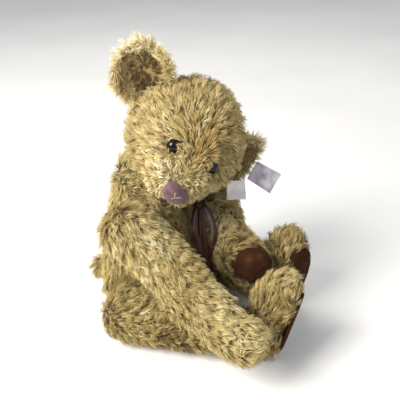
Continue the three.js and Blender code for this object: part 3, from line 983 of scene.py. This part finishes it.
def build_nose(forward, left):
    """A padded suede nose: a rounded shield, wide at the top, tucked in at its edge."""
    points = node_points("nose")
    at, axes = principal(points)
    out = axes[2] * np.sign(axes[2] @ forward)
    wide = axes[0] * np.sign(axes[0] @ left)
    up = np.cross(wide, out)
    up = up * np.sign(up[2] + 1e-6)
    shares = ((wide, 0.9), (up, 0.94), (out, 1.0))
    half = [np.abs((points - at) @ axis).max() * share for axis, share in shares]
    around = np.linspace(0, 2 * math.pi, 56, endpoint=False)
    shells = []
    profile = [(0.9, -2.2), (1.0, -1.0), (1.04, -0.2), (1.0, 0.3), (0.9, 0.75)]
    profile += [(0.74, 1.05), (0.52, 1.25), (0.28, 1.35), (0.05, 1.38)]
    for scale, height in profile:
        ring = []
        for angle in around:
            x, y = math.cos(angle), math.sin(angle)
            squared = (abs(x) ** 2.5 + abs(y) ** 2.5) ** (-1 / 2.5)
            x, y = x * squared, y * squared
            x *= 1.0 + 0.16 * y
            ring.append(at + wide * half[0] * x * scale + up * half[1] * y * scale + out * half[2] * height)
        shells.append(ring)
    mesh = subdivided(ringed(np.array(shells)))
    points = coordinates(mesh)
    set_coordinates(mesh, points + drift(points, 0.004, 9) * 0.12 * MM)
    piece("nose_pad", mesh, MATERIALS["nose_suede"], "head", "nose_suede", "nose")

    # Stray pile over the nose, in three wisps that meet at its middle
    roots, normal = scattered(mesh, 3e6, np.random.default_rng(71))
    x, y = (roots - at) @ wide / half[0], (roots - at) @ up / half[1]
    stem = (np.abs(x) < 0.03) & (y < 0.15) & (y > -0.5)
    fork = (np.abs(np.abs(x) - 0.75 * (y - 0.1)) < 0.035) & (y >= 0.1) & (y < 0.5)
    chosen = (stem | fork) & (normal @ out > 0.4)
    roots, normal = roots[chosen], normal[chosen]
    rising = up + wide * (0.75 * np.sign(x[chosen]) * fork[chosen])[:, None]
    look = {**BODY_PILE, "length": 4 * MM, "stand": 0.4 * MM, "width": 0.3 * MM, "tone": 0.95, "stray": 0.3}
    strands("nose_wisps", "head", roots, normal, rising, look, 72)


def build_mouth(left):
    """Two-ply thread: one stitch down from the nose and one curved stitch across."""
    points = node_points("mouth_stitch")
    middle = points.mean(0)
    aside = (points - middle) @ left
    ends = [points[np.argmin(aside)], points[np.argmax(aside)]]
    down = points[np.abs(aside) < 1.5 * MM]
    from_nose = distance(down, centre("nose"))
    top, foot = down[np.argmin(from_nose)], down[np.argmax(from_nose)]
    skin = surface_of("head_skin")
    cords = []
    downwards = [top, (top + foot) / 2, foot]
    across = [ends[0], (ends[0] + foot) / 2, foot, (ends[1] + foot) / 2, ends[1]]
    for guide in (downwards, across):
        path = smooth_path(guide, 70)
        hits = [skin.find_nearest(Vector(p)) for p in path]
        out = np.array([tuple(hit[1]) for hit in hits])
        path = np.array([tuple(hit[0]) for hit in hits]) - out * MOUTH_SUNK
        ahead = unit(np.gradient(path, axis=0))
        out = unit(out - ahead * dot(out, ahead)[:, None])
        side = np.cross(ahead, out)
        for ply in (0, math.pi):
            turn = np.arange(len(path)) * 0.9 + ply
            heart = path + (out * np.cos(turn)[:, None] + side * np.sin(turn)[:, None]) * 0.32 * MM
            around = np.linspace(0, 2 * math.pi, 8, endpoint=False)[:, None]
            section = out[:, None] * np.cos(around) + side[:, None] * np.sin(around)
            cords.append(ringed(heart[:, None] + 0.38 * MM * section))
    mesh = merged(cords, face_out=True)
    piece("mouth_thread", mesh, MATERIALS["thread"], "head", "thread", "mouth_stitch")


def build_head():
    middle, forward, left, up = face_axes()
    nose = centre("nose")
    eyes = [eye_frame(side) for side in SIDES]
    bridge = (eyes[0][0] + eyes[1][0]) / 2
    seams = [(middle + left * 24 * MM, left), (middle - left * 24 * MM, left)]
    inside = ["head_joint_stud", "nose", "right_eye", "left_eye", "right_eye_washer", "left_eye_washer"]
    mesh = backing("head_cloth", "head", "head_skin", inside, seams)

    def above(points, front, axis):
        """How far round an eye each point lies: 1 straight above it, -1 straight below."""
        offset = points - front
        aside = offset - (offset @ axis)[:, None] * axis
        return unit(aside) @ unit(up - (up @ axis) * axis)

    def off_eyes(points):
        """Not under an eye's dome, unless on the back of the head."""
        out = np.ones(len(points), bool)
        for front, axis, radius in eyes:
            along, around = along_and_off(points, front, axis)
            out &= (around > radius - 0.2 * MM) | (along < -30 * MM)
        return out

    def flow(points, _):
        from_nose = distance(points, nose)
        muzzle = (1 - step(28 * MM, 52 * MM, from_nose))[:, None]
        outward = unit(points - nose) * muzzle + unit(points - bridge) * (1 - muzzle)
        for front, axis, _ in eyes:
            # Hanging over the eye from above, combed away from it below
            offset = points - front
            near = 1 - step(9 * MM, 18 * MM, distance(points, front))
            over = step(-0.1, 0.5, above(points, front, axis))
            outward = outward + unit(offset) * (near * (1 - 2.3 * over))[:, None]
        return outward + 0.25 * DOWN

    def length(points, _):
        from_nose = distance(points, nose)
        out = MM * (6.5 + 6.0 * step(24 * MM, 58 * MM, from_nose))
        for front, _, _ in eyes:
            out = out * (0.75 + 0.25 * step(8 * MM, 16 * MM, distance(points, front)))
        return out

    def stand(points, _):
        from_nose = distance(points, nose)
        out = MM * (4.0 + 1.4 * step(24 * MM, 58 * MM, from_nose))
        for front, _, _ in eyes:
            out = out + 1.2 * MM * (1 - step(9 * MM, 16 * MM, distance(points, front)))
        return out

    def warm(points, _):
        """Reddish patches on the forehead."""
        near = 1 - step(16 * MM, 42 * MM, distance(points, bridge + up * 26 * MM))
        return near * (0.36 + 0.3 * np.abs(drift(points, 0.02, 11)[:, 0]))

    def tone(points, _):
        """Paler round the muzzle than over the rest of the head."""
        from_nose = distance(points, nose)
        return 0.44 + 0.2 * (1 - step(20 * MM, 50 * MM, from_nose)) + 0.14 * drift(points, 0.02, 5)[:, 0]

    look = {**BODY_PILE, "length": length, "stand": stand, "warm": warm, "tone": tone}
    clear = [("nose", 2.0 * MM)]
    pile("head_fur", "head", mesh, flow, look, 400, clear, keep=off_eyes)

    def brow(points):
        """Just over an eye."""
        out = np.zeros(len(points), bool)
        for front, axis, _ in eyes:
            out |= (distance(points, front) < 12 * MM) & (above(points, front, axis) > 0.35)
        return out & off_eyes(points)

    def brow_flow(points, _):
        """Down over the nearer eye."""
        fronts = np.array([front for front, _, _ in eyes])
        nearer = np.argmin(np.linalg.norm(points[:, None] - fronts[None], axis=2), axis=1)
        return unit(fronts[nearer] - points) + 0.3 * DOWN

    brow_look = {**BODY_PILE, "density": 1.1e6, "length": 8 * MM, "stand": 5.2 * MM, "tone": 0.5, "lock": 5}
    pile("brow_fur", "head", mesh, brow_flow, brow_look, 440, clear, keep=brow)
    build_nose(forward, left)
    build_mouth(left)
    for side in SIDES:
        build_eye(side)
        build_ear(side, middle)
    build_labels()


def build_ear(side, middle):
    node_name = f"{side}_ear"
    points = node_points(node_name)
    at, axes = principal(points)
    mesh = remeshed(joined(node_name), 2.5 * MM)
    grown(mesh, -4.6 * MM)

    # The hollow is on the side that the rim curls towards.
    offset = points - at
    from_axis = np.linalg.norm(offset @ axes[:2].T, axis=1)
    hollow = axes[2] * np.sign(np.corrcoef(from_axis, offset @ axes[2])[0, 1])
    radius = from_axis.max()

    def inside(points, normal):
        """1 in the ear's hollow, 0 on its rim and back."""
        around = np.linalg.norm((points - at) @ axes[:2].T, axis=1) / radius
        return step(0.1, 0.6, normal @ hollow) * (1 - step(0.6, 0.85, around))

    deep = inside(coordinates(mesh), normals(mesh))
    set_coordinates(mesh, coordinates(mesh) - hollow * (4.5 * MM * deep)[:, None])
    root_in(mesh, "head_skin", 8 * MM)
    piece(f"{side}_ear_cloth", mesh, MATERIALS["backing"], "head", "plush", node_name)

    def flow(points, normal):
        outward = unit(points - at) + 0.35 * unit(points - middle) + 0.15 * DOWN
        return outward + 0.4 * hollow * (1 - inside(points, normal))[:, None]

    def tone(points, normal):
        """Darker in the hollow: painted shade, on top of the hollow in the cloth."""
        return 0.7 - 0.9 * inside(points, normal) + 0.1 * drift(points, 0.02, 5)[:, 0]

    look = {
        **BODY_PILE,
        "density": 0.8e6,
        "length": lambda points, normal: MM * (12.5 - 6 * inside(points, normal)),
        "stand": lambda points, normal: MM * (5.2 - 3.4 * inside(points, normal)),
        "tone": tone,
    }
    pile(f"{side}_ear_fur", "head", mesh, flow, look, 500 + 20 * SIDES.index(side))


def build_labels():
    """Two woven labels with hemmed edges, curling a little, their roots in the pile of what holds them."""
    for node_name, holder, seed in (("large_label", "left_ear", 1), ("small_label", "head_skin", 2)):
        points = node_points(node_name)
        at, axes = principal(points)
        away = at - np.array(surface_of(holder).find_nearest(Vector(at))[0])
        order = [0, 1, 2] if abs(axes[0] @ away) > abs(axes[1] @ away) else [1, 0, 2]
        out, across, thick = axes[order]
        out = out * np.sign(out @ away)
        half = [np.abs((points - at) @ axis).max() for axis in (out, across)]
        columns, rows = 28, 24
        u, v = np.meshgrid(np.linspace(-1, 1, columns), np.linspace(-1, 1, rows), indexing="ij")
        bow = 1.4 * MM * (1 - u**2) + 0.8 * MM * np.sin(3 * u + 2 * v + seed) * np.abs(v) ** 2
        hem = 0.18 * MM * (np.abs(np.abs(v) - 0.93) < 0.05)
        reach = u * half[0] - 3 * MM * (u < 0) * u**2
        sheet = [
            at
            + out * reach[..., None]
            + across * (v * half[1] * (1 - 0.05 * (1 - u)))[..., None]
            + thick * (bow - 0.5 * MM + sign * (0.22 * MM + hem))[..., None]
            for sign in (1, -1)
        ]
        mesh = ringed(np.concatenate([sheet[0], sheet[1][:, ::-1]], axis=1))
        piece(f"{node_name}_cloth", mesh, MATERIALS[node_name], "head", "label_cloth", node_name)


# ---------- ribbon ----------


def smooth_path(points, count):
    """Points along a Catmull-Rom curve through the given ones."""
    points = np.asarray(points, float)
    padded = np.concatenate([[2 * points[0] - points[1]], points, [2 * points[-1] - points[-2]]])
    out = []
    for t in np.linspace(0, len(points) - 1.0001, count):
        i, f = int(t), t % 1
        a, b, c, d = padded[i : i + 4]
        out.append(
            0.5 * (2 * b + (c - a) * f + (2 * a - 5 * b + 4 * c - d) * f**2 + (3 * b - a - 3 * c + d) * f**3)
        )
    return np.array(out)


def ribbon_sheet(path, across, width, folds, depth, thick=0.35 * MM, sides=14):
    """A ribbon along a path: folded lengthwise in waves, with a real thickness."""
    ahead = unit(np.gradient(path, axis=0))
    across = unit(across - ahead * dot(across, ahead)[:, None])
    out = np.cross(ahead, across)
    v = np.linspace(-1, 1, sides)
    rings = []
    for i, wide in enumerate(np.broadcast_to(width, len(path))):
        wave = depth * np.sin(v * folds * math.pi + i * 0.06)
        middle = path[i] + across[i] * (v * wide / 2)[:, None] + out[i] * wave[:, None]
        rings.append(np.concatenate([middle + out[i] * thick / 2, (middle - out[i] * thick / 2)[::-1]]))
    return ringed(np.array(rings))


def build_ribbon():
    """A satin ribbon bunched round the neck and tied in front, a loop and two tails hanging down."""
    axis = AXES["head"]
    back = unit(np.array([0, 1.0, 0]) - axis * axis[1])
    aside = np.cross(axis, back)
    meshes = []
    radius = 30.5 * MM
    ring_at = PIVOTS["head"] - axis * 3.5 * MM + back * 2.5 * MM
    turns = np.linspace(0, 2 * math.pi, 97)
    for number in range(3):
        lift = (number - 1) * 1.5 * MM
        path = []
        for turn in turns:
            sway = 0.8 * MM * math.sin(turn * (3 + number) + number)
            reach = radius + (0.6 * (number % 2) + 1.2) * MM + sway * 0.4
            out = back * math.cos(turn) + aside * math.sin(turn)
            path.append(ring_at + axis * (lift + sway) + out * reach)
        path[-1] = path[0]
        meshes.append(ribbon_sheet(np.array(path), axis, 4 * MM, 1.0, 0.6 * MM))
    knot = np.array([4.0, -57.0, 127.0]) * MM
    knot_rings = []
    for t in np.linspace(0.03, 0.97, 18):
        bulge = math.sin(t * math.pi) ** 0.6
        ring = []
        for turn in np.linspace(0, 2 * math.pi, 28, endpoint=False):
            crease = 1 + 0.08 * math.sin(turn * 5 + t * 4)
            ring.append(
                knot
                + np.array([(t - 0.5) * 11 * MM, 0, 0])
                + np.array([0, math.cos(turn), math.sin(turn)]) * bulge * crease * 5.2 * MM
            )
        knot_rings.append(ring)
    meshes.append(ringed(np.array(knot_rings)))

    def hang(points, widths, folds, depth):
        """A length hanging from the knot, through points in millimetres."""
        path = smooth_path(np.array(points) * MM, 60)
        width = np.interp(np.linspace(0, 1, len(path)), np.linspace(0, 1, len(widths)), widths) * MM
        meshes.append(ribbon_sheet(path, np.array([0.3, -0.95, 0.15]), width, folds, depth * MM))

    hang(
        [(4, -57, 129), (-3, -55, 118), (-11, -58, 101), (-15, -66, 81), (-16, -71, 72)],
        (5, 6.5, 6.5, 6, 3), 0.6, 0.9,
    )
    hang(
        [(4, -61, 129), (0, -69, 121), (-6, -76, 107), (-11, -77, 93), (-15, -73, 78), (-16, -70, 70)],
        (4, 6, 6, 5, 4, 3), 0.6, 0.7,
    )
    hang(
        [(3, -60, 128), (-6, -65, 110), (-13, -70, 86), (-20, -73, 61), (-26, -78, 41)],
        (3, 3, 7, 7, 6), 0.8, 0.7,
    )
    hang([(3, -58, 128), (-8, -62, 100), (-17, -65, 78), (-21, -65, 60)], (3, 4, 6, 5), 0.8, 0.7)
    mesh = merged(meshes, face_out=True)
    piece("neck_ribbon", mesh, MATERIALS["satin"], "torso", "satin", "ribbon")


# ---------- stage ----------


def build_stage():
    bpy.ops.mesh.primitive_plane_add(size=16)
    floor = bpy.context.object
    floor.name = "floor"
    shader = Shader("floor", Roughness=0.8)
    colour = shader.ramp(shader.noise(3.0), (0.3, srgb(226, 225, 222)), (0.7, srgb(233, 232, 229)))
    shader.link(colour, "Base Color")
    floor.data.materials.append(shader.material)

    world = bpy.data.worlds.new("studio")
    world.use_nodes = True
    world.node_tree.nodes["Background"].inputs["Color"].default_value = (0.93, 0.95, 1.0, 1)
    world.node_tree.nodes["Background"].inputs["Strength"].default_value = 0.56
    SCENE.world = world
    SCENE.view_settings.view_transform = "Standard"

    def lamp(name, azimuth, elevation, away, size, watts, colour):
        light = bpy.data.lights.new(name, "AREA")
        light.size = size
        light.energy = watts
        light.color = colour
        ob = linked(name, light)
        ob.location = TARGET + direction(azimuth, elevation) * away
        ob.rotation_euler = (TARGET - ob.location).to_track_quat("-Z", "Y").to_euler()

    lamp("key", VIEW["azimuth"] - 48, 36, 1.5, 0.8, 42, (1.0, 0.98, 0.93))
    lamp("fill", VIEW["azimuth"] + 50, 35, 1.8, 1.4, 5, (0.95, 0.97, 1.0))
    lamp("rim", VIEW["azimuth"] + 190, 50, 1.6, 0.9, 7, (1.0, 0.98, 0.95))


def direction(azimuth, elevation):
    a, e = math.radians(azimuth), math.radians(elevation)
    return Vector((math.sin(a) * math.cos(e), -math.cos(a) * math.cos(e), math.sin(e)))


def build_camera():
    camera = linked("camera", bpy.data.cameras.new("camera"))
    camera.data.lens = VIEW["lens"]
    camera.data.sensor_width = 36
    camera.data.clip_start = 0.01
    back = direction(VIEW["azimuth"], VIEW["elevation"])
    turn = math.radians(VIEW["azimuth"])
    right = Vector((math.cos(turn), math.sin(turn), 0))
    up = back.cross(right)
    roll = math.radians(VIEW["roll"])
    right, up = right * math.cos(roll) + up * math.sin(roll), up * math.cos(roll) - right * math.sin(roll)
    camera.matrix_world = frame_matrix(TARGET + back * VIEW["distance"], right, up, back)
    SCENE.camera = camera


build_torso()
for side_name in SIDES:
    build_arm(side_name)
    build_leg(side_name)
build_head()
build_ribbon()
build_stage()
build_camera()
